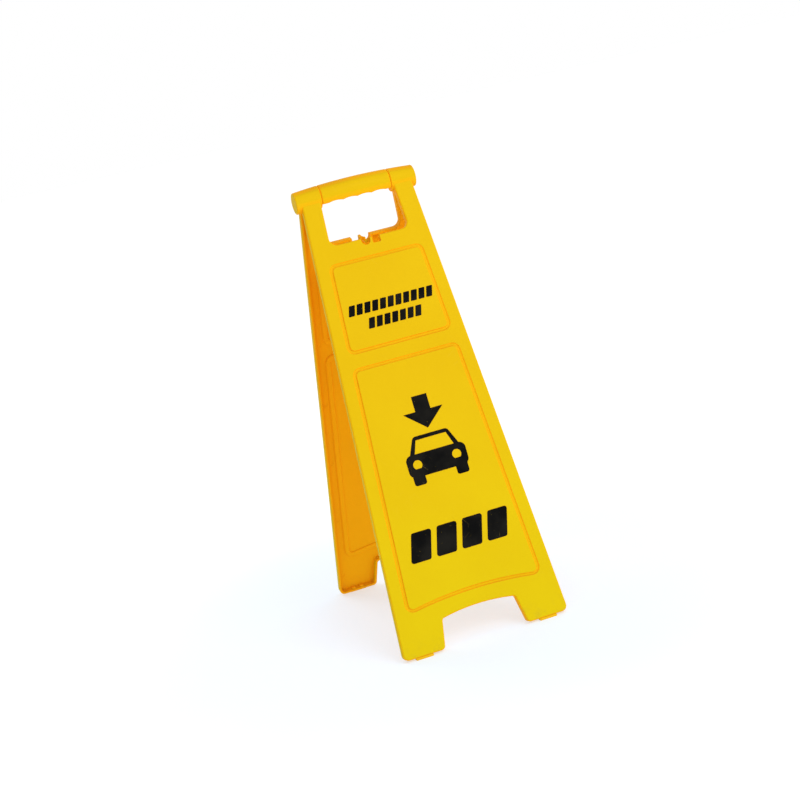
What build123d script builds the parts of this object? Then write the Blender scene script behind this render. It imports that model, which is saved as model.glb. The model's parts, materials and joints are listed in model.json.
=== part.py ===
from build123d import *
import os
from math import asin, cos, degrees, radians, sin, sqrt

os.makedirs("parts", exist_ok=True)

# A folding A-frame floor sign: two moulded leaves hinged along a carrying bar.
# Row frame: X across the sign, Z up, front leaf towards -Y, floor at Z = 0.
# Each leaf is drawn upright in its own frame: hinge axis along X at the origin,
# leaf hanging down -Z, outer face towards -Y. "out" is the distance from the
# axis plane towards the outer face. The rear leaf is the same frame turned round.

# Leaf outline
LEAN = 15.3                 # each leaf from upright when open, degrees
LEAF_LENGTH = 635.0         # hinge axis to the leg ends
AXIS_WIDTH = 158.0          # leaf width level with the hinge axis
BASE_WIDTH = 240.0          # leaf width at the leg ends
FACE_OUT = 12.4             # hinge axis to the outer face
RIM_OUT = 1.0               # hinge axis to the edge of the inner rim
WALL = 3.0
FACE_ROUND = 2.4            # rounding of the face where it turns into the rim
RIM_ROUND = 0.8

# Legs and the arched gap between them
ARCH_TOP = 590.0            # axis to the crown of the arch
ARCH_RISE = 5.2
ARCH_HALF_TOP = 53.0
ARCH_HALF_FOOT = 60.5
ARCH_CORNER = 4.0
LEG_OUTER_CORNER = 8.0
LEG_INNER_CORNER = 6.0

# Hand opening
OPENING_FOOT = 70.0         # axis down to the lower edge
OPENING_CORNER = 10.0
FRONT_JAMB = 26.7           # leaf edge to the side of the opening
REAR_JAMB = 23.6
FRONT_OPENING_TOP = 20.0    # level of the upper edge, inside the bar
REAR_OPENING_TOP = -8.4     # level of the upper edge, under the grip
REAR_TOP_CORNER = 6.0
POCKET_TOP = 17.6           # the hollow inside of the leaf starts below this

# Printed fields: a shallow groove round a slightly raised plateau
FIELD_MARGIN = 19.6         # leaf edge to the middle of the groove
FIELD_CORNER = 9.0
UPPER_FIELD = (97.4, 218.9)
LOWER_FIELD = (242.0, 575.4)
LOWER_FIELD_RISE = 8.4
GROOVE_WIDTH = 4.6
GROOVE_DEPTH = 1.4
GROOVE_BEVEL = 1.3
PLATEAU_ROUND = 1.2
PLATEAU_RISE = 0.7
BEAD_WIDTH = 8.0            # bead on the inner side that backs the groove
BEAD_HEIGHT = 2.0
BEAD_BEVEL = 1.3

# Witness marks that the mould's ejector pins leave on the inner side
EJECTOR_RADIUS = 3.5
EJECTOR_DEPTH = 0.3
EJECTOR_MARGIN = 9.3        # leaf edge to the middle of a mark
EJECTOR_TOP = 120.0         # axis to the first pair
EJECTOR_PITCH = 97.0
EJECTOR_PAIRS = 6

# Catch at the foot of the hand opening: a notch with a hooked finger
NOTCH_DEPTH = 10.0
NOTCH_HALF = 13.6
NOTCH_OVER = 6.0            # how far the cutter stands above the lower edge
SLOT_CORNER = 2.0
HOLE_RADIUS = 6.6
FINGER_LEFT = -3.2          # tip of the finger's barb
FINGER_RIGHT = 1.8
ARM_INNER = -2.3
ARM_OUTER = -4.8
ARM_REACH = 5.0             # how far the arm passes the axis plane
ARM_HEIGHT = 5.0
ARM_ROOT = 3.0              # length sunk into the finger
ARM_SETBACK = 0.4           # arm inside the finger's sides
ARM_DROP = 0.6              # top of the arm below the finger's tip
ARM_ROUND = 1.0

# Hinge bar
BAR_RADIUS = 15.0
BAR_CROWN = 3.8             # extra height of the bar at mid-length, none at its ends
GRIP_HALF = 49.8
SEAM = 0.4                  # gap between grip and barrel
EAR_HALF = 66.0             # the grip's ears reach this far behind the barrels
EAR_OUT = 9.4
HINGE_GAP = 0.5             # radial room round the barrels
STOP_GAP = 0.2
BARREL_END = 83.4
SEAM_CHAMFER = 1.2

# Grip underside
FINGER_PITCH = 20.5
FINGER_DEPTH = 1.6
GRIP_FOOT = 8.7             # axis down to the teeth between the finger hollows
GRIP_WALL = 3.5
GRIP_RIB = 2.5
GRIP_ROUND = 2.0

# Hinge pins and barrel caps
PIN_RADIUS = 4.0
PIN_CLEARANCE = 0.06
PIN_INNER_END = 18.5
PIN_HEAD_RADIUS = 7.0
PIN_HEAD = 3.0
PIN_POINT = 0.8
PIN_HEAD_ROUND = 1.0
CORE_START = 68.0           # the barrel is cored out from here to its end
CORE_RADIUS = 10.5
CAP_THICK = 3.4
CAP_ROUND = 1.8
CAP_SPIGOT = 6.0
CAP_WALL = 2.5

# Foot pads
SOLE_DROP = 3.4             # outer edge of a leg end to the floor
PAD_WIDTH = 25.0
PAD_OUT = (1.9, 11.4)
PAD_ROUND = 1.5
PAD_BLANK = 10.0            # moulded height before the sole is cut level with the floor
PEG_RADIUS = 2.5
PEG_OUT = 5.9
PEG_SPACING = 13.0
PEG_HEAD_RADIUS = 3.2
PEG_HEAD = 1.8
PEG_POINT = 0.8

# Printed marks, cut from thin film
FILM = 0.25
PRINT_SHIFT = 2.0           # the print sits a little to one side of the middle
STRIPE_LEAN = 0.28          # sideways slant of the stripes, per unit height
STRIPE_ROUND = 0.12         # corner radius of a stripe, as a share of its shorter side
STRIPE_HEIGHT = 14.6
STRIPE_GAP = 2.6

TAPER = (BASE_WIDTH - AXIS_WIDTH) / 2 / LEAF_LENGTH
AXIS_HEIGHT = LEAF_LENGTH * cos(radians(LEAN)) - FACE_OUT * sin(radians(LEAN)) + SOLE_DROP
PLATEAU_OUT = FACE_OUT + PLATEAU_RISE
FAR = 400.0                 # longer than any part of the sign
PAST = 5.0                  # how far a cut runs past the surface that it opens
MERGE = 0.3                 # how far a raised feature is sunk into its wall
NEAR = 1.0                  # reach for picking out the corners and edges at a level
TOUCH = 0.001               # closer than this counts as lying in a plane


def half_width(z):
    return AXIS_WIDTH / 2 - TAPER * z


def slab(sketch, out_from, out_to):
    """A flat sketch (x, z) given thickness between two distances from the axis plane."""
    return extrude(Plane.XZ.offset(out_from) * sketch, out_to - out_from)


def edges_at(shape, out):
    """Edges that lie wholly in the plane at one distance from the axis plane."""
    def level(point):
        return abs(point.Y + out) < TOUCH
    return [e for e in shape.edges() if all(map(level, [*e.vertices(), e.position_at(0.5)]))]


def stand(shape, rear):
    """Turn a leaf-frame shape to its open position, hinge axis still at the origin."""
    if rear:
        return Rot(LEAN, 0, 0) * Rot(0, 0, 180) * shape
    return Rot(-LEAN, 0, 0) * shape


def raised(shape):
    return Pos(0, 0, AXIS_HEIGHT) * shape


def arch_gap(grow):
    """The gap between the legs, open at the foot."""
    foot = -LEAF_LENGTH - 2 * PAST
    flare = (ARCH_HALF_FOOT - ARCH_HALF_TOP) / (LEAF_LENGTH - ARCH_TOP - ARCH_RISE)
    side_z = -ARCH_TOP - ARCH_RISE + grow
    foot_x = ARCH_HALF_TOP + grow + flare * (side_z - foot)
    top_x = ARCH_HALF_TOP + grow
    crown = ThreePointArc((-top_x, side_z), (0, side_z + ARCH_RISE), (top_x, side_z))
    sides = Polyline((top_x, side_z), (foot_x, foot), (-foot_x, foot), (-top_x, side_z))
    gap = make_face([crown.edge(), *sides.edges()])
    corners = [v for v in gap.vertices() if v.Y > foot + NEAR]
    return fillet(corners, ARCH_CORNER + grow)


def leaf_outline(inset, top):
    """Tapered leaf with two legs, drawn a given distance inside its true edge."""
    foot = -LEAF_LENGTH + inset
    top_x = half_width(top) - inset
    foot_x = half_width(foot) - inset
    blank = make_face(Polyline((-top_x, top), (top_x, top), (foot_x, foot), (-foot_x, foot), close=True))
    legs = blank - arch_gap(inset)
    outer = [v for v in legs.vertices() if v.Y < foot + NEAR and abs(v.X) > foot_x - NEAR]
    legs = fillet(outer, LEG_OUTER_CORNER - inset)
    feet = [v for v in legs.vertices() if v.Y < foot + TOUCH]
    inner = [v for v in feet if abs(v.X) < ARCH_HALF_FOOT + 2 * WALL]
    return fillet(inner, LEG_INNER_CORNER - inset)


def opening(jamb, top, grow, top_corner=0):
    """Hand opening that follows the leaf's taper."""
    foot = -OPENING_FOOT - grow
    high = top + grow
    foot_x = half_width(foot) - jamb + grow
    high_x = half_width(high) - jamb + grow
    face = make_face(Polyline((-high_x, high), (high_x, high), (foot_x, foot), (-foot_x, foot), close=True))
    face = fillet([v for v in face.vertices() if v.Y < foot + NEAR], OPENING_CORNER + grow)
    if top_corner:
        face = fillet([v for v in face.vertices() if v.Y > high - NEAR], top_corner + grow)
    return face


def field(span, rise, grow):
    """Outline of a printed field, grown or shrunk from the middle of its groove."""
    high = -span[0] + grow
    low = -span[1] - grow
    high_x = half_width(high) - FIELD_MARGIN + grow
    low_x = half_width(low) - FIELD_MARGIN + grow
    if rise:
        foot = ThreePointArc((low_x, low), (0, low + rise), (-low_x, low))
    else:
        foot = Line((low_x, low), (-low_x, low))
    rest = Polyline((-low_x, low), (-high_x, high), (high_x, high), (low_x, low))
    face = make_face([foot.edge(), *rest.edges()])
    return fillet(face.vertices(), FIELD_CORNER + grow)


FIELDS = ((UPPER_FIELD, 0), (LOWER_FIELD, LOWER_FIELD_RISE))


def catch_notch():
    """Round hole on one side of the finger, square slot on the other."""
    foot = -OPENING_FOOT - NOTCH_DEPTH
    high = -OPENING_FOOT + NOTCH_OVER
    hole_x = -NOTCH_HALF + HOLE_RADIUS
    hole_z = foot + HOLE_RADIUS
    hole = Pos(hole_x, hole_z) * Circle(HOLE_RADIUS)
    mouth_width = FINGER_LEFT + NOTCH_HALF
    mouth = Pos(FINGER_LEFT - mouth_width / 2, (hole_z + high) / 2) * Rectangle(mouth_width, high - hole_z)
    slot_width = NOTCH_HALF - FINGER_RIGHT
    slot = Rectangle(slot_width, high - foot)
    slot = fillet(slot.vertices(), SLOT_CORNER)
    slot = Pos(FINGER_RIGHT + slot_width / 2, (foot + high) / 2) * slot
    return hole + mouth + slot


def catch_arm():
    """Arm of the catch finger, seen from above; it passes beside the other leaf's finger."""
    root = RIM_OUT + ARM_ROOT
    left, right = FINGER_LEFT + ARM_SETBACK, FINGER_RIGHT - ARM_SETBACK
    points = [(right, -root), (right, -RIM_OUT), (ARM_INNER, RIM_OUT - ARM_SETBACK),
              (ARM_INNER, ARM_REACH), (ARM_OUTER, ARM_REACH), (ARM_OUTER, 0),
              (left, -RIM_OUT), (left, -root)]
    plan = make_face(Polyline(*points, close=True))
    arm = Pos(0, 0, -OPENING_FOOT - ARM_DROP - ARM_HEIGHT) * extrude(plan, ARM_HEIGHT)
    tip = [e for e in arm.edges().filter_by(Axis.Z) if e.center().Y > ARM_REACH - TOUCH]
    return fillet(tip, ARM_ROUND)


def ejector_marks():
    """Shallow round recesses in pairs down the inner side, beside the rim."""
    floor = FACE_OUT - WALL
    marks = Sketch()
    for pair in range(EJECTOR_PAIRS):
        z = -EJECTOR_TOP - pair * EJECTOR_PITCH
        x = half_width(z) - EJECTOR_MARGIN
        marks += [Pos(side * x, z) * Circle(EJECTOR_RADIUS) for side in (-1, 1)]
    return slab(marks, RIM_OUT, floor + EJECTOR_DEPTH)


def leaf_shell(jamb, opening_top, top_corner):
    """Thin-walled leaf: outer face, inward rim all round, hand opening and printed fields."""
    hand = opening(jamb, opening_top, 0, top_corner)
    shell = slab(leaf_outline(0, 0) - hand, RIM_OUT, FACE_OUT)
    rounded = [e for e in edges_at(shell, FACE_OUT) if e.center().Z < -NEAR]
    shell = fillet(rounded, FACE_ROUND)

    catch_room = Pos(0, -OPENING_FOOT) * Rectangle(2 * NOTCH_HALF + 2 * WALL, 2 * (NOTCH_DEPTH + WALL))
    pocket = leaf_outline(WALL, -POCKET_TOP) - opening(jamb, opening_top, WALL, top_corner) - catch_room
    shell -= slab(pocket, RIM_OUT - PAST, FACE_OUT - WALL)
    rim = [e for e in edges_at(shell, RIM_OUT) if e.center().Z < -POCKET_TOP - NEAR]
    shell = fillet(rim, RIM_ROUND)
    shell -= slab(catch_notch(), RIM_OUT - PAST, FACE_OUT + PAST)

    for span, rise in FIELDS:
        shell += bead(span, rise)
        shell = grooved(shell, span, rise)
    return shell - ejector_marks() + catch_arm()


def bead(span, rise):
    """Raised band on the inner side, which keeps the wall even behind the groove."""
    floor = FACE_OUT - WALL
    ring = field(span, rise, BEAD_WIDTH / 2) - field(span, rise, -BEAD_WIDTH / 2)
    band = slab(ring, floor - BEAD_HEIGHT, floor + MERGE)
    return chamfer(edges_at(band, floor - BEAD_HEIGHT), BEAD_BEVEL)


def grooved(shell, span, rise):
    """Cut one field's groove and raise its plateau."""
    half = GROOVE_WIDTH / 2
    plateau = slab(field(span, rise, -half), FACE_OUT - GROOVE_DEPTH - MERGE, PLATEAU_OUT)
    plateau = fillet(edges_at(plateau, PLATEAU_OUT), PLATEAU_ROUND)
    trench = slab(field(span, rise, half), FACE_OUT - GROOVE_DEPTH, PLATEAU_OUT + PAST)
    trench = chamfer(edges_at(trench, FACE_OUT - GROOVE_DEPTH), GROOVE_BEVEL)
    return shell - trench + plateau


def bar_stock(radius, crown):
    """The whole bar: half-round below, and an arched half-round on upright sides above."""
    arc_radius = (BARREL_END ** 2 + crown ** 2) / (2 * crown)
    half_turn = degrees(asin(BARREL_END / arc_radius)) + 1
    bend = Axis((0, 0, crown - arc_radius), (0, 1, 0))
    section = Circle(radius) + Pos(0, -radius / 2) * Rectangle(2 * radius, radius)
    arch = revolve(Plane.YZ * Pos(0, crown) * section, bend, 2 * half_turn)
    arch = arch.rotate(bend, -half_turn)
    above = arch & Pos(0, 0, FAR / 2) * Box(2 * BARREL_END, FAR, FAR)
    round_bar = Rot(0, 90, 0) * Cylinder(radius, 2 * BARREL_END)
    below = round_bar & Pos(0, 0, -FAR / 2) * Box(FAR, FAR, FAR)
    return above + below


def across(x_from, x_to):
    """A slice of space between two stations along the bar."""
    return Pos((x_from + x_to) / 2, 0, 0) * Box(x_to - x_from, FAR, FAR)


def beyond(angle, distance):
    """Space on the rear side of a plane that faces the rear at some angle to level."""
    return Rot(angle, 0, 0) * Pos(0, distance + FAR / 2, 0) * Box(FAR, FAR, FAR)


def both_ends(shape):
    return [shape, mirror(shape, about=Plane.YZ)]


def barrel():
    """Right-hand barrel of the front leaf, with its rear cut back where the ear swings."""
    start = GRIP_HALF + SEAM
    body = bar_stock(BAR_RADIUS, BAR_CROWN) & across(start, BARREL_END)
    body = chamfer(body.faces().sort_by(Axis.X)[0].edges(), SEAM_CHAMFER)
    relief_zone = across(start - PAST, EAR_HALF + SEAM)
    for angle in (LEAN, 0, -LEAN):
        body -= beyond(angle, EAR_OUT - STOP_GAP) & relief_zone
    return body


def grip():
    """Carrying grip: crowned above, finger hollows below, cored from below between ribs."""
    body = bar_stock(BAR_RADIUS, BAR_CROWN) & across(-GRIP_HALF, GRIP_HALF)
    ends = [body.faces().sort_by(Axis.X)[0], body.faces().sort_by(Axis.X)[-1]]
    body = chamfer([e for f in ends for e in f.edges()], SEAM_CHAMFER)
    body -= Pos(0, 0, -GRIP_FOOT - FAR / 2) * Box(FAR, FAR, FAR)
    scoop = ((FINGER_PITCH / 2) ** 2 + FINGER_DEPTH ** 2) / (2 * FINGER_DEPTH)
    lip = [e for e in body.edges().filter_by(Axis.X) if abs(e.center().Z + GRIP_FOOT) < TOUCH]
    body = fillet(lip, GRIP_ROUND)
    hollow = bar_stock(BAR_RADIUS - GRIP_WALL, BAR_CROWN)
    mouth = sqrt((BAR_RADIUS - GRIP_WALL) ** 2 - (GRIP_FOOT - NEAR) ** 2)
    hollow += Pos(0, 0, -BAR_RADIUS) * Box(FAR / 2, 2 * mouth, 2 * BAR_RADIUS)
    for step in (-1.5, -0.5, 0.5, 1.5):
        middle = step * FINGER_PITCH
        finger = Pos(middle, 0, -GRIP_FOOT + FINGER_DEPTH - scoop) * Rot(90, 0, 0)
        body -= finger * Cylinder(scoop, 3 * BAR_RADIUS)
        reach = (FINGER_PITCH - GRIP_RIB) / 2
        body -= hollow & across(middle - reach, middle + reach)
    return body


def hinge_bore(radius, x_from, x_to):
    middle = (x_from + x_to) / 2
    return Pos(middle, 0, 0) * Rot(0, 90, 0) * Cylinder(radius, x_to - x_from)


LEG_MIDDLE = (half_width(-LEAF_LENGTH) + ARCH_HALF_FOOT) / 2


def peg_holes():
    """Holes in the leg ends for the foot pads' pegs."""
    places = [side * LEG_MIDDLE + step * PEG_SPACING / 2 for side in (-1, 1) for step in (-1, 1)]
    return Part() + [Pos(x, -PEG_OUT, -LEAF_LENGTH) * Cylinder(PEG_RADIUS, 4 * WALL) for x in places]


def front_panel():
    shell = leaf_shell(FRONT_JAMB, FRONT_OPENING_TOP, 0) - peg_holes()
    panel = stand(shell, rear=False)
    core = hinge_bore(CORE_RADIUS, CORE_START, BARREL_END + PAST)
    core += hinge_bore(PIN_RADIUS, 0, BARREL_END)
    for solid in both_ends(barrel()):
        panel += solid
    for solid in both_ends(core):
        panel -= solid
    return raised(panel)


def rear_panel():
    shell = leaf_shell(REAR_JAMB, REAR_OPENING_TOP, REAR_TOP_CORNER) - peg_holes()
    panel = stand(shell, rear=True)
    room = hinge_bore(BAR_RADIUS + HINGE_GAP, GRIP_HALF, FAR / 2)
    ear_zone = across(GRIP_HALF, EAR_HALF)
    room -= ear_zone & beyond(LEAN, EAR_OUT)
    ear = bar_stock(BAR_RADIUS, BAR_CROWN) & across(GRIP_HALF - WALL, EAR_HALF) & beyond(LEAN, EAR_OUT)
    bore = hinge_bore(PIN_RADIUS + PIN_CLEARANCE, PIN_INNER_END - NEAR, FAR / 2)
    for solid in both_ends(room):
        panel -= solid
    middle = across(-GRIP_HALF, GRIP_HALF)
    panel -= middle & Box(FAR, FAR, 2 * GRIP_FOOT)
    panel += grip()
    for solid in both_ends(ear):
        panel += solid
    for solid in both_ends(bore):
        panel -= solid
    return raised(panel)


def hinge_pin():
    """Right-hand pin, pushed in from the end: head in the barrel, tip in the grip."""
    shank = hinge_bore(PIN_RADIUS, PIN_INNER_END, CORE_START)
    shank = chamfer(shank.faces().sort_by(Axis.X)[0].edges(), PIN_POINT)
    head = hinge_bore(PIN_HEAD_RADIUS, CORE_START, CORE_START + PIN_HEAD)
    head = fillet(head.faces().sort_by(Axis.X)[-1].edges(), PIN_HEAD_ROUND)
    return raised(shank + head)


def barrel_cap():
    """Right-hand plug that closes the cored barrel and rounds off the end of the bar."""
    disc = hinge_bore(BAR_RADIUS, BARREL_END, BARREL_END + CAP_THICK)
    disc = fillet(disc.faces().sort_by(Axis.X)[-1].edges(), CAP_ROUND)
    spigot = hinge_bore(CORE_RADIUS, BARREL_END - CAP_SPIGOT, BARREL_END)
    spigot -= hinge_bore(CORE_RADIUS - CAP_WALL, BARREL_END - CAP_SPIGOT, BARREL_END)
    return raised(disc + spigot)


def foot_pad(side, rear):
    """Push-in pad under one leg, its sole level with the floor when the sign is open."""
    leg = side * LEG_MIDDLE
    depth = PAD_OUT[1] - PAD_OUT[0]
    middle = -LEAF_LENGTH - PAD_BLANK / 2
    block = Pos(leg, -sum(PAD_OUT) / 2, middle) * Box(PAD_WIDTH, depth, PAD_BLANK)
    block = fillet(block.edges().filter_by(Axis.Z), PAD_ROUND)
    for step in (-1, 1):
        foot = Pos(leg + step * PEG_SPACING / 2, -PEG_OUT, -LEAF_LENGTH)
        block += foot * Pos(0, 0, WALL / 2) * Cylinder(PEG_RADIUS, WALL)
        head = Pos(0, 0, WALL + PEG_HEAD / 2) * Cylinder(PEG_HEAD_RADIUS, PEG_HEAD)
        head = chamfer(head.faces().sort_by(Axis.Z)[-1].edges(), PEG_POINT)
        block += foot * head
    pad = raised(stand(block, rear))
    return pad - Pos(0, 0, -FAR / 2) * Box(FAR * 2, FAR * 2, FAR)


def film(sketch, rear):
    """Printed mark on the plateau of a field."""
    marks = slab(Pos(PRINT_SHIFT, 0) * sketch, PLATEAU_OUT, PLATEAU_OUT + FILM)
    return raised(stand(marks, rear))


def stripe_row(count, width, top, height=STRIPE_HEIGHT, gap=STRIPE_GAP):
    """Row of slanted stripes, centred, with rounded corners."""
    pitch = (width + gap) / count
    slant = STRIPE_LEAN * height / 2
    half = (pitch - gap) / 2
    outline = [(-half - slant, -height / 2), (half - slant, -height / 2),
               (half + slant, height / 2), (-half + slant, height / 2)]
    stripe = make_face(Polyline(*outline, close=True))
    stripe = fillet(stripe.vertices(), STRIPE_ROUND * min(height, 2 * half))
    first = -(count - 1) / 2 * pitch
    row = [Pos(first + i * pitch, -top - height / 2) * stripe for i in range(count)]
    return Sketch() + row


def arrow(top, height):
    """Plain arrow that points down."""
    half_shaft, half_head = 0.24 * height, 0.62 * height
    neck = -top - 0.46 * height
    points = [(half_shaft, -top), (half_shaft, neck), (half_head, neck), (0, -top - height),
              (-half_head, neck), (-half_shaft, neck), (-half_shaft, -top)]
    return make_face(Polyline(*points, close=True))


def car(top, width):
    """Front view of a plain car: cabin with a windscreen, body with lamps, two wheels."""
    cabin_high, body_high, wheel_high = 0.27 * width, 0.36 * width, 0.13 * width
    half_roof, half_belt = 0.29 * width, 0.41 * width
    frame = 0.035 * width       # width of the screen's surround at the roof
    pillar = 0.08 * width
    sill = -top - cabin_high
    head = -top - 0.06 * width
    corners = [(-half_roof, -top), (half_roof, -top), (half_belt, sill), (-half_belt, sill)]
    cabin = make_face(Polyline(*corners, close=True))
    cabin = fillet([v for v in cabin.vertices() if v.Y > sill + NEAR], 0.07 * width)
    top_x, foot_x = half_roof - frame, half_belt - pillar
    glass = make_face(Polyline((-top_x, head), (top_x, head), (foot_x, sill), (-foot_x, sill), close=True))
    body = Pos(0, sill - body_high / 2) * RectangleRounded(width, body_high, 0.1 * width)
    lamp = Circle(0.075 * width)
    wheel = RectangleRounded(0.2 * width, 2 * wheel_high, 0.04 * width)
    shape = (cabin - glass) + body
    for side in (-1, 1):
        shape -= Pos(side * 0.33 * width, sill - 0.47 * body_high) * lamp
        shape += Pos(side * 0.36 * width, sill - body_high) * wheel
    return shape


MARKS = {
    "upper_stripes": stripe_row(count=11, width=121.0, top=156.0),
    "lower_stripes": stripe_row(count=7, width=76.0, top=178.0),
    "arrow": arrow(top=297.0, height=46.0),
    "car": car(top=350.0, width=86.0),
    "hazard_blocks": stripe_row(count=4, width=140.0, top=474.0, height=40.0, gap=8.0),
}


def write(name, shape):
    export_step(shape, f"parts/{name}.step")


write("front_panel", front_panel())
write("rear_panel", rear_panel())
for name, right in (("hinge_pin", hinge_pin()), ("barrel_cap", barrel_cap())):
    write(f"{name}_right", right)
    write(f"{name}_left", mirror(right, about=Plane.YZ))
for leaf, rear in (("front", False), ("rear", True)):
    for side, x in (("left", -1), ("right", 1)):
        turned = -x if rear else x
        write(f"{leaf}_foot_pad_{side}", foot_pad(turned, rear))
    for mark, sketch in MARKS.items():
        write(f"{leaf}_print_{mark}", film(sketch, rear))
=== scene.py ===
import json
from math import cos, radians, sin

import bpy
from mathutils import Matrix, Vector


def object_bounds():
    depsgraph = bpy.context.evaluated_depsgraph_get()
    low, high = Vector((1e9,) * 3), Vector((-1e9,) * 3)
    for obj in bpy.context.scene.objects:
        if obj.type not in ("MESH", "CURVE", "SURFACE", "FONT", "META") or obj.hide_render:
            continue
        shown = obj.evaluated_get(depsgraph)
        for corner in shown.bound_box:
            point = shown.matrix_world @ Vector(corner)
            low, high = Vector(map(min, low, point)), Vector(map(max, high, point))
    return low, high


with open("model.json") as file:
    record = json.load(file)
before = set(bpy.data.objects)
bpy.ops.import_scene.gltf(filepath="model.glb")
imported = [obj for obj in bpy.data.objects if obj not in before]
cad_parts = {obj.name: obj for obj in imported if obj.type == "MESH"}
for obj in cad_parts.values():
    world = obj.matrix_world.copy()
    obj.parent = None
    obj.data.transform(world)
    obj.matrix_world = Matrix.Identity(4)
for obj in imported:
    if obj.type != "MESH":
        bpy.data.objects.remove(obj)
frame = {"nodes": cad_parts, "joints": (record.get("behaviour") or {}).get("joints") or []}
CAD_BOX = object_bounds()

LOW, HIGH = (Vector(corner) for corner in CAD_BOX)
MIDDLE = (LOW + HIGH) / 2
FOLD = frame["joints"][0]
LEAN = radians(FOLD["range_deg"][1] / 2)

# Camera: direction from the sign, distance, tilt of the frame and lens
CAMERA_AZIMUTH = -14.05
CAMERA_ELEVATION = 12.2
CAMERA_ROLL = -12.7
CAMERA_DISTANCE = 2.221
CAMERA_LENS = 70.6
SENSOR_WIDTH = 36
AIM_SHIFT = Vector((-0.0019, 0, -0.006))

# Studio
SKY_BRIGHT = 1.0
SKY_DIM = 0.35
SKY_SPAN = (-0.9, -0.1)                # the sky is dim before the first X direction, bright past the second
KEY = {"power": 16.0, "azimuth": 22, "elevation": 32}
BACK_FILL = {"power": 11.0, "azimuth": 205, "elevation": 35}
LAMP_DISTANCE = 2.4
LAMP_SIZE = 1.2
FLOOR_SIZE = 40
FLOOR_FEET_SHADE = (0.43, 0.50, 0.60)        # painted cool shade round the feet
FLOOR_PALE = (0.60, 0.60, 0.60)
FLOOR_GLOW = 0.51
FEET_SHADE_INNER, FEET_SHADE_OUTER = 0.28, 0.75    # where the floor turns from one to the other

# Linear colours of the plastic with its painted light and shade, its wear, the pads, the print and the pins
LIT_YELLOW = (0.735, 0.475, 0.005)    # outer faces, the plastic's lit colour
LOW_LIT_YELLOW = (0.735, 0.545, 0.005)    # painted light: the lit colour, lighter lower down
SHADOWED_YELLOW = (0.95, 0.445, 0.005)     # painted shade on insides, openings, corners and under sides
CAP_EDGE_SHADE = (0.90, 0.46, 0.006)       # painted shade on the rounded edges of the barrel caps
PAD_YELLOW = (0.88, 0.50, 0.008)
SCUFF_PALE = (0.86, 0.60, 0.08)
GRIME = (0.26, 0.17, 0.05)
# painted shade on up-facing surfaces
TOP_SHADE_TINT = (0.42, 0.21, 0.010)
PRINT_BLACK = (0.0015, 0.0015, 0.0015)
PRINT_WORN = (0.010, 0.009, 0.007)
STEEL = (0.56, 0.57, 0.58)
SHADED = 0.6                           # a colour's darker version, as a share of it

# Sizes of the surface detail, in metres, and how deep it is pressed into the surface
GRAIN = 0.0009
GRAIN_DEPTH = 0.00004
PEEL = 0.009
PEEL_DEPTH = 0.00012
CLOUD = 0.11
SCRATCH_LONG, SCRATCH_WIDE = 0.030, 0.0005
EDGE_REACH = 0.0022
CORNER_REACH = 0.006
GRIME_TOP = 0.035                      # heights above the floor
# top of the painted light that makes the outer faces lighter towards the floor
LOW_LIGHT_TOP = 0.42
PEG_LEVEL = 0.006
SOLE_DIRT = 0.004
HAND_REACH = 0.021                     # radius round the hinge axis, and distance from mid-grip
HAND_HALF = 0.048

# Levels between which one look gives way to another
TURNED = (0.74, 0.90)                  # how squarely a surface faces away from the other leaf
UNDER = (0.24, 0.44)                   # how far it faces down along its leaf
FLANK = (0.75, 0.95)
UPWARD = (0.5, 0.95)
CORNERS = (0.03, 0.42)
EDGES = (0.25, 0.7)
MOTTLE = (0.3, 0.7)
GLOSS_PATCHES = (0.25, 0.75)
WEAR_PATCHES = (0.5, 0.75)
TOP_SHADE_PATCHES = (0.3, 0.75)
SPATTER = (0.45, 0.8)
SCRATCH_PATCHES = (0.5, 0.68)
SCRATCH_RUNS = ((0.5, 0.735), (-0.9, 0.74), (1.45, 0.745))     # direction, level where a line starts
SCRATCH_SHARPNESS = 0.03
PRINT_CLOUDS = (0.35, 0.7)
PRINT_SPECKS = (0.76, 0.80)

# How strongly each look shows
UNDER_LEFT = 0.6                       # what the under side keeps of the lit face colour; the rest is painted shade
CLOUD_SHADE, SPECK_SHADE = 0.10, 0.05
WEAR = 0.4
SCRATCH_PALE, SCRATCH_ON_PRINT = 0.3, 0.25
# least and most painted shade on up-facing surfaces
TOP_SHADE_LEAST, TOP_SHADE_MOST = 0.22, 0.45
FOOT_GRIME, SOLE_GRIME = 0.22, 0.25
SPECKS_ON_PRINT = 0.8
STREAK_SHADE = 0.35

# Gloss
PLASTIC_ROUGH = (0.36, 0.50)
SCRATCH_ROUGH, WORN_ROUGH, HAND_POLISH = 0.12, 0.15, 0.14
PLASTIC_SPECULAR = 0.012
RUBBER_ROUGH = (0.65, 0.9)
PRINT_ROUGH = (0.5, 0.7)
STEEL_ROUGH = (0.24, 0.44)
FLOOR_ROUGH = 0.9
DRY_SPECULAR = 0.05                    # rubber, print and floor
TEXTURE = (0.2, 0.8)                   # range of the noise that drives the roughness
STREAKS = (60, 4000, 4000)             # per metre along and across a drawn rod


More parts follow.
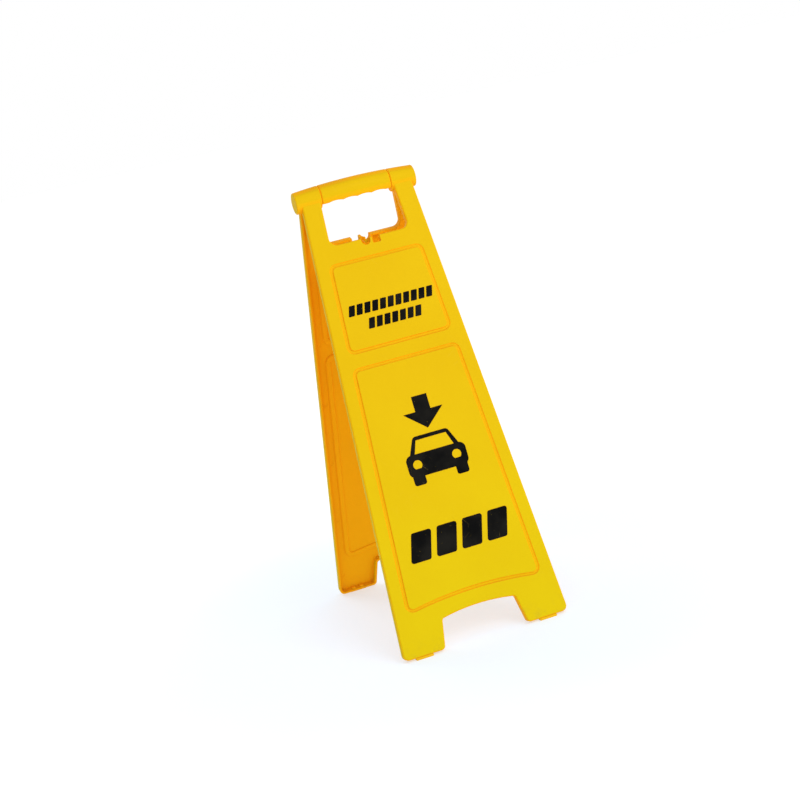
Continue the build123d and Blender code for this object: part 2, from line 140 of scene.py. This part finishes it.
class Shader:
    """A material's node graph, with one short method for each kind of node it needs."""

    def __init__(self, name):
        self.material = bpy.data.materials.new(name)
        self.material.use_nodes = True
        self.nodes = self.material.node_tree.nodes
        self.links = self.material.node_tree.links
        self.bsdf = self.nodes["Principled BSDF"]

    def node(self, kind, sockets=None, **settings):
        node = self.nodes.new(kind)
        for name, value in settings.items():
            setattr(node, name, value)
        for name, value in (sockets or {}).items():
            self.put(node.inputs[name], value)
        return node

    def put(self, socket, value):
        """Link an output into a socket, or set the socket to a plain value."""
        if isinstance(value, bpy.types.NodeSocket):
            self.links.new(value, socket)
        elif isinstance(value, tuple) and socket.type == "RGBA":
            socket.default_value = (*value, 1)
        else:
            socket.default_value = value

    def surface(self, **values):
        for name, value in values.items():
            self.put(self.bsdf.inputs[name.replace("_", " ")], value)

    def math(self, operation, a, b=0.0):
        node = self.node("ShaderNodeMath", {0: a, 1: b}, operation=operation)
        return node.outputs[0]

    def ramp(self, value, low, high, to_low=0.0, to_high=1.0):
        """Smooth step of a value from one level to another."""
        sockets = {"Value": value, "From Min": low, "From Max": high, "To Min": to_low, "To Max": to_high}
        return self.node("ShaderNodeMapRange", sockets, interpolation_type="SMOOTHSTEP").outputs["Result"]

    def mix(self, factor, a, b):
        node = self.node("ShaderNodeMix", data_type="RGBA")
        for socket, value in zip((node.inputs[0], node.inputs[6], node.inputs[7]), (factor, a, b)):
            self.put(socket, value)
        return node.outputs[2]

    def place(self):
        return self.node("ShaderNodeTexCoord").outputs["Object"]

    def stretched(self, scale, turn=(0, 0, 0)):
        """Object coordinates turned, then scaled."""
        turned = self.node("ShaderNodeMapping", {"Vector": self.place(), "Rotation": turn})
        return self.node("ShaderNodeMapping", {"Vector": turned.outputs[0], "Scale": scale}).outputs[0]

    def noise(self, scale, detail=2.0, rough=0.5, where=None):
        sockets = {"Vector": where or self.place(), "Scale": scale, "Detail": detail, "Roughness": rough}
        return self.node("ShaderNodeTexNoise", sockets).outputs["Fac"]

    def shelter(self, distance, inside=False):
        """0 on open faces, rising to 1 in corners, or on outer edges when seen from inside."""
        node = self.node("ShaderNodeAmbientOcclusion", {"Distance": distance}, inside=inside, samples=6)
        return self.math("SUBTRACT", 1.0, node.outputs["AO"])

    def position(self):
        return self.node("ShaderNodeSeparateXYZ", {0: self.place()}).outputs

    def facing(self):
        """Parts of the surface's own direction along X, Y and Z."""
        normal = self.node("ShaderNodeTexCoord").outputs["Normal"]
        return self.node("ShaderNodeSeparateXYZ", {0: normal}).outputs

    def bump(self, *layers):
        """Stack of (height, depth in metres) layers."""
        normal = None
        for height, depth in layers:
            node = self.node("ShaderNodeBump", {"Height": height, "Distance": depth, "Strength": 1.0})
            if normal:
                self.links.new(normal, node.inputs["Normal"])
            normal = node.outputs["Normal"]
        self.surface(Normal=normal)


def outward(shader):
    """1 on a leaf's outer face and flanks and the bar above them, 0 on its inner face and openings; it marks
    where the plastic keeps its lit colour instead of the painted shade.
    """
    side = shader.math("SIGN", shader.position()["Y"])
    normal = shader.facing()
    away = shader.math("MULTIPLY", normal["Y"], side)
    turned = shader.math("ADD", shader.math("MULTIPLY", away, cos(LEAN)),
                         shader.math("MULTIPLY", normal["Z"], sin(LEAN)))
    under = shader.math("SUBTRACT", shader.math("MULTIPLY", away, sin(LEAN)),
                        shader.math("MULTIPLY", normal["Z"], cos(LEAN)))
    face = shader.ramp(turned, *TURNED)
    # Painted shade: surfaces facing down along their leaf, such as under the hinge barrel, get part of the
    # shade colour
    face = shader.math("MULTIPLY", face, shader.ramp(under, *UNDER, 1.0, UNDER_LEFT))
    flank = shader.math("MULTIPLY", normal["X"], shader.math("SIGN", shader.position()["X"]))
    return shader.math("MAXIMUM", face, shader.ramp(flank, *FLANK))


def held(shader):
    """1 on the middle of the carrying grip, where hands polish it."""
    place = shader.position()
    drop = shader.math("SUBTRACT", place["Z"], FOLD["pos_m"][2])
    squares = [shader.math("MULTIPLY", part, part) for part in (place["Y"], drop)]
    reach = shader.math("SQRT", shader.math("ADD", *squares))
    round_bar = shader.ramp(reach, HAND_REACH, HAND_REACH * 0.9)
    along = shader.ramp(shader.math("ABSOLUTE", place["X"]), HAND_HALF, HAND_HALF * 0.7)
    return shader.math("MULTIPLY", round_bar, along)


def scratches(shader):
    """Sparse fine scratches in three directions, gathered in patches."""
    total = 0.0
    for turn, level in SCRATCH_RUNS:
        where = shader.stretched((1 / SCRATCH_LONG, 1 / SCRATCH_LONG, 1 / SCRATCH_WIDE), turn=(0, turn, 0))
        line = shader.ramp(shader.noise(1.0, 1.0, where=where), level, level + SCRATCH_SHARPNESS)
        total = shader.math("ADD", line, total)
    patches = shader.ramp(shader.noise(1 / CLOUD, 2.0), *SCRATCH_PATCHES)
    return shader.math("MULTIPLY", total, patches)


def darker(colour):
    return tuple(SHADED * part for part in colour)


def moulded(name, face, pale, deep):
    """Satin moulded plastic with grain, cloudy gloss, pale worn edges, fine scratches and foot grime, with
    painted shade on insides, openings, corners, under sides and up-facing surfaces, and painted light
    towards the floor.
    """
    shader = Shader(name)
    cloud = shader.noise(1 / CLOUD, 3.0)
    speck = shader.noise(1 / GRAIN, 2.0, 0.6)
    corners = shader.ramp(shader.shelter(CORNER_REACH), *CORNERS)
    edges = shader.ramp(shader.shelter(EDGE_REACH, inside=True), *EDGES)
    lines = scratches(shader)
    height = shader.position()["Z"]

    # Painted shade: insides, openings, down-facing sides and corners take the deep colour, and open outer
    # faces keep the lit colour
    lit_share = shader.math("MULTIPLY", outward(shader), shader.math("SUBTRACT", 1.0, corners))
    # Painted light: outer faces grow lighter towards the floor
    face = shader.mix(shader.ramp(height, LOW_LIGHT_TOP, 0.0), face, pale)
    colour = shader.mix(lit_share, deep, face)
    shade = shader.math("ADD", shader.ramp(cloud, *MOTTLE, 0.0, CLOUD_SHADE),
                        shader.ramp(speck, *MOTTLE, 0.0, SPECK_SHADE))
    colour = shader.mix(shade, colour, darker(deep))
    worn = shader.math("MULTIPLY", edges, shader.ramp(shader.noise(1 / PEEL, 3.0), *WEAR_PATCHES, 0.0, WEAR))
    colour = shader.mix(worn, colour, SCUFF_PALE)
    colour = shader.mix(shader.math("MULTIPLY", lines, SCRATCH_PALE), colour, SCUFF_PALE)
    # Painted shade: up-facing surfaces turn a darker orange, in cloudy patches
    top_shaded = shader.math("MULTIPLY", shader.ramp(shader.facing()["Z"], *UPWARD),
                          shader.ramp(cloud, *TOP_SHADE_PATCHES, TOP_SHADE_LEAST, TOP_SHADE_MOST))
    colour = shader.mix(top_shaded, colour, TOP_SHADE_TINT)
    spots = shader.ramp(shader.noise(1 / PEEL, 5.0, 0.65), *SPATTER)
    splashed = shader.math("MULTIPLY", shader.ramp(height, GRIME_TOP, 0.0), spots)
    colour = shader.mix(shader.math("MULTIPLY", splashed, FOOT_GRIME), colour, GRIME)

    rough = shader.ramp(cloud, *GLOSS_PATCHES, *PLASTIC_ROUGH)
    rough = shader.math("ADD", rough, shader.math("MULTIPLY", lines, SCRATCH_ROUGH))
    rough = shader.math("ADD", rough, shader.math("MULTIPLY", worn, WORN_ROUGH))
    rough = shader.math("SUBTRACT", rough, shader.math("MULTIPLY", held(shader), HAND_POLISH))
    shader.surface(Base_Color=colour, Roughness=rough, Specular_IOR_Level=PLASTIC_SPECULAR)
    unscratched = shader.math("SUBTRACT", 1.0, lines)
    shader.bump((shader.noise(1 / PEEL), PEEL_DEPTH), (speck, GRAIN_DEPTH), (unscratched, GRAIN_DEPTH))
    return shader.material


def pad_rubber():
    """Soft yellow rubber, matt and gritty, dirtier towards its sole."""
    shader = Shader("pad_rubber")
    grit = shader.noise(1 / GRAIN, 4.0, 0.7)
    height = shader.position()["Z"]
    dirt = shader.math("MULTIPLY", shader.ramp(height, SOLE_DIRT, 0.0), shader.ramp(grit, *MOTTLE))
    # Pegs above PEG_LEVEL take the painted shade colour of the panel insides
    colour = shader.mix(shader.ramp(height, PEG_LEVEL * 0.7, PEG_LEVEL), PAD_YELLOW, SHADOWED_YELLOW)
    colour = shader.mix(shader.math("MULTIPLY", dirt, SOLE_GRIME), colour, GRIME)
    rough = shader.ramp(grit, *TEXTURE, *RUBBER_ROUGH)
    shader.surface(Base_Color=colour, Roughness=rough, Specular_IOR_Level=DRY_SPECULAR)
    shader.bump((grit, GRAIN_DEPTH * 2))
    return shader.material


def print_film():
    """Dense black film with a dry surface, worn through in specks."""
    shader = Shader("print_film")
    tooth = shader.noise(1 / GRAIN, 3.0, 0.6)
    cloud = shader.ramp(shader.noise(1 / CLOUD * 3, 3.0), *PRINT_CLOUDS)
    colour = shader.mix(cloud, PRINT_BLACK, PRINT_WORN)
    specks = shader.ramp(shader.noise(0.7 / GRAIN, 2.0, 0.5), *PRINT_SPECKS)
    colour = shader.mix(shader.math("MULTIPLY", specks, SPECKS_ON_PRINT), colour, LIT_YELLOW)
    colour = shader.mix(shader.math("MULTIPLY", scratches(shader), SCRATCH_ON_PRINT), colour, SCUFF_PALE)
    rough = shader.ramp(tooth, *TEXTURE, *PRINT_ROUGH)
    shader.surface(Base_Color=colour, Roughness=rough, Specular_IOR_Level=DRY_SPECULAR)
    shader.bump((tooth, GRAIN_DEPTH))
    return shader.material


def brushed_steel():
    """Drawn steel rod, with fine lines along its length."""
    shader = Shader("brushed_steel")
    streaks = shader.noise(1.0, 2.0, where=shader.stretched(STREAKS))
    colour = shader.mix(shader.ramp(streaks, *MOTTLE, 0.0, STREAK_SHADE), STEEL, darker(STEEL))
    shader.surface(Base_Color=colour, Metallic=1.0, Roughness=shader.ramp(streaks, *TEXTURE, *STEEL_ROUGH))
    shader.bump((streaks, GRAIN_DEPTH / 2))
    return shader.material


def floor_finish():
    """Pale matt floor that glows a little, with painted cool shade round the feet."""
    shader = Shader("floor")
    place = shader.position()
    squares = [shader.math("MULTIPLY", place[axis], place[axis]) for axis in "XY"]
    # Painted cool shade: the floor is darker and cooler round the feet
    near = shader.ramp(shader.math("ADD", *squares), FEET_SHADE_OUTER ** 2, FEET_SHADE_INNER ** 2)
    colour = shader.mix(near, FLOOR_PALE, FLOOR_FEET_SHADE)
    shader.surface(Base_Color=colour, Roughness=FLOOR_ROUGH, Specular_IOR_Level=DRY_SPECULAR)
    shader.surface(Emission_Color=(1.0, 1.0, 1.0), Emission_Strength=FLOOR_GLOW)
    return shader.material


def direction(azimuth, elevation):
    """Unit vector away from the sign; azimuth 0 is in front of it, and both angles are in degrees."""
    azimuth, elevation = radians(azimuth), radians(elevation)
    return Vector((sin(azimuth) * cos(elevation), -cos(azimuth) * cos(elevation), sin(elevation)))


def place_camera():
    azimuth, roll = radians(CAMERA_AZIMUTH), radians(CAMERA_ROLL)
    back = direction(CAMERA_AZIMUTH, CAMERA_ELEVATION)
    level_right = Vector((cos(azimuth), sin(azimuth), 0))
    level_up = back.cross(level_right)
    right = cos(roll) * level_right + sin(roll) * level_up
    up = cos(roll) * level_up - sin(roll) * level_right
    turn = Matrix((right, up, back)).transposed().to_4x4()
    data = bpy.data.cameras.new("camera")
    data.lens = CAMERA_LENS
    data.sensor_width = SENSOR_WIDTH
    camera = bpy.data.objects.new("camera", data)
    camera.matrix_world = Matrix.Translation(MIDDLE + AIM_SHIFT + CAMERA_DISTANCE * back) @ turn
    bpy.context.scene.collection.objects.link(camera)
    bpy.context.scene.camera = camera


def light_sky():
    """White sky whose light is dimmer from -X; the background itself stays white."""
    world = bpy.data.worlds.new("studio")
    bpy.context.scene.world = world
    world.use_nodes = True
    nodes, links = world.node_tree.nodes, world.node_tree.links
    split = nodes.new("ShaderNodeSeparateXYZ")
    links.new(nodes.new("ShaderNodeTexCoord").outputs["Generated"], split.inputs[0])
    level = nodes.new("ShaderNodeMapRange")
    limits = {"From Min": SKY_SPAN[0], "From Max": SKY_SPAN[1], "To Min": SKY_DIM, "To Max": SKY_BRIGHT}
    for name, value in limits.items():
        level.inputs[name].default_value = value
    links.new(split.outputs["X"], level.inputs["Value"])
    seen = nodes.new("ShaderNodeMath")
    seen.operation = "MAXIMUM"
    links.new(nodes.new("ShaderNodeLightPath").outputs["Is Camera Ray"], seen.inputs[0])
    links.new(level.outputs[0], seen.inputs[1])
    links.new(seen.outputs[0], nodes["Background"].inputs["Strength"])
    nodes["Background"].inputs["Color"].default_value = (1, 1, 1, 1)


def light_lamp(name, power, azimuth, elevation):
    """Soft square lamp that points at the middle of the sign."""
    data = bpy.data.lights.new(name, "AREA")
    data.energy = power
    data.size = LAMP_SIZE
    lamp = bpy.data.objects.new(name, data)
    away = direction(azimuth, elevation)
    lamp.location = MIDDLE + LAMP_DISTANCE * away
    lamp.rotation_euler = away.to_track_quat("Z", "Y").to_euler()
    bpy.context.scene.collection.objects.link(lamp)


def lay_floor():
    bpy.ops.mesh.primitive_plane_add(size=FLOOR_SIZE)
    floor = bpy.context.object
    floor.name = "studio_floor"
    floor.data.materials.append(floor_finish())


place_camera()
light_sky()
light_lamp("key", **KEY)
light_lamp("back_fill", **BACK_FILL)
lay_floor()
bpy.context.scene.view_settings.view_transform = "Standard"

finishes = {
    "panel": moulded("moulded_yellow", LIT_YELLOW, LOW_LIT_YELLOW, SHADOWED_YELLOW),
    "cap": moulded("moulded_cap", LIT_YELLOW, LIT_YELLOW, CAP_EDGE_SHADE),
    "pad": pad_rubber(),
    "print": print_film(),
    "pin": brushed_steel(),
}
for name, node in frame["nodes"].items():
    kind = next(kind for kind in finishes if kind in name.split("_"))
    node.data.materials.clear()
    node.data.materials.append(finishes[kind])
